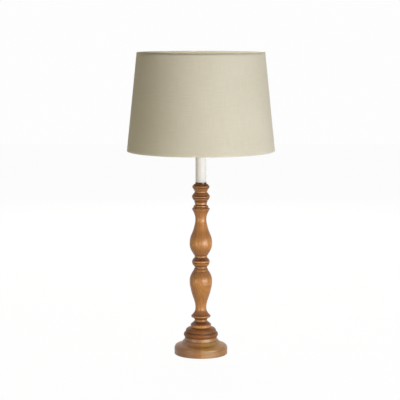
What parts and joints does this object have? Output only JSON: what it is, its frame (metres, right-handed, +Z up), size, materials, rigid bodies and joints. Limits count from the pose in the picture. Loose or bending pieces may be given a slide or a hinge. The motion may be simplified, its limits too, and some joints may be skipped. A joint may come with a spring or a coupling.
{
  "type": "candlestick table lamp",
  "caption": "Turned wooden candlestick table lamp with a round foot, white candle tube, switched bayonet lampholder, bulb and tapered fabric shade on a spoked fitter.",
  "frame": {"origin": "on the lamp axis, at the underside of the felt that it rests on", "axes": "+Z up along the column, -Y towards the front, cable inlet at the back on +Y"},
  "size_m": [0.35, 0.35, 0.7178],
  "materials": {
    "wood_column": "satin",
    "wood_foot": "satin",
    "felt": "matte",
    "cast_iron": "rough cast",
    "zinc_steel": "zinc plated",
    "dark_bronze": "dark lacquered, polished",
    "white_tube": "semi-gloss",
    "white_moulding": "gloss moulding",
    "inner_moulding": "matt moulding",
    "brass": "turned",
    "spring_steel": "drawn wire",
    "bush_plastic": "matt moulding",
    "white_wire": "powder coated",
    "liner": "matt sheet",
    "linen": "plain weave",
    "opal_glass": "opal",
    "clear_glass": "clear",
    "bulb_aluminium": "spun",
    "black_vitrite": "glassy",
    "solder": "dull",
    "tungsten": "drawn wire"
  },
  "bodies": {
    "lamp": {"felt_pad": "felt", "foot": "wood_foot", "ballast_weight": "cast_iron", "base_washer": "zinc_steel", "base_lock_washer": "zinc_steel", "base_nut": "zinc_steel", "threaded_rod": "zinc_steel", "cable_bush": "bush_plastic", "riser": "wood_foot", "column": "wood_column", "drip_collar": "dark_bronze", "collar_nut": "brass", "candle_tube": "white_tube", "tube_top_washer": "white_wire", "holder_cap": "white_moulding", "cap_grub_screw": "brass", "switch_body": "white_moulding", "terminal_screws": "brass", "holder_barrel": "white_moulding", "contact_insert": "inner_moulding", "plunger_springs": "spring_steel"},
    "push_bar": {"push_bar": "white_moulding"},
    "plungers": {"contact_plungers": "brass"},
    "bulb": {"bulb_cap": "bulb_aluminium", "bulb_insulator": "black_vitrite", "bulb_contacts": "solder", "bulb_glass": "opal_glass", "bulb_mount": "clear_glass", "bulb_filament": "tungsten"},
    "reducer": {"reducer_ring": "white_moulding"},
    "lower_ring": {"lower_shade_ring": "white_moulding"},
    "upper_ring": {"upper_shade_ring": "white_moulding"},
    "shade": {"fitter_frame": "white_wire", "top_wire": "white_wire", "bottom_wire": "white_wire", "shade_liner": "liner", "shade_fabric": "linen", "top_hem": "linen", "bottom_hem": "linen"}
  },
  "joints": [
    {"name": "push_bar_slide", "type": "slide", "parent": "lamp", "child": "push_bar", "axis": [1, 0, 0], "range_m": [0, 0.005]},
    {"name": "bulb_push", "type": "slide", "parent": "lamp", "child": "plungers", "axis": [0, 0, 1], "range_m": [-0.0025, 0], "stiffness_N_per_m": 800, "springref_m": 0.006, "deforming": ["plunger_springs"]},
    {"name": "bulb_turn", "type": "hinge", "parent": "plungers", "child": "bulb", "pos_m": [0, 0, 0.551], "axis": [0, 0, 1], "range_deg": [0, 20]},
    {"name": "shade_height", "type": "slide", "parent": "lamp", "child": "reducer", "axis": [0, 0, 1], "range_m": [-0.004, 0.004]},
    {"name": "lower_ring_turn", "type": "hinge", "parent": "reducer", "child": "lower_ring", "pos_m": [0, 0, 0.5493], "axis": [0, 0, 1], "range_deg": [-740, 740]},
    {"name": "upper_ring_turn", "type": "hinge", "parent": "reducer", "child": "upper_ring", "pos_m": [0, 0, 0.55735], "axis": [0, 0, 1], "range_deg": [-740, 740]},
    {"name": "shade_turn", "type": "hinge", "parent": "reducer", "child": "shade", "pos_m": [0, 0, 0.5549], "axis": [0, 0, 1], "continuous": true}
  ],
  "couplings": [
    {"joint": "lower_ring_turn", "follows": "shade_height", "rad_per_m": 3141.6},
    {"joint": "upper_ring_turn", "follows": "shade_height", "rad_per_m": 3141.6}
  ]
}
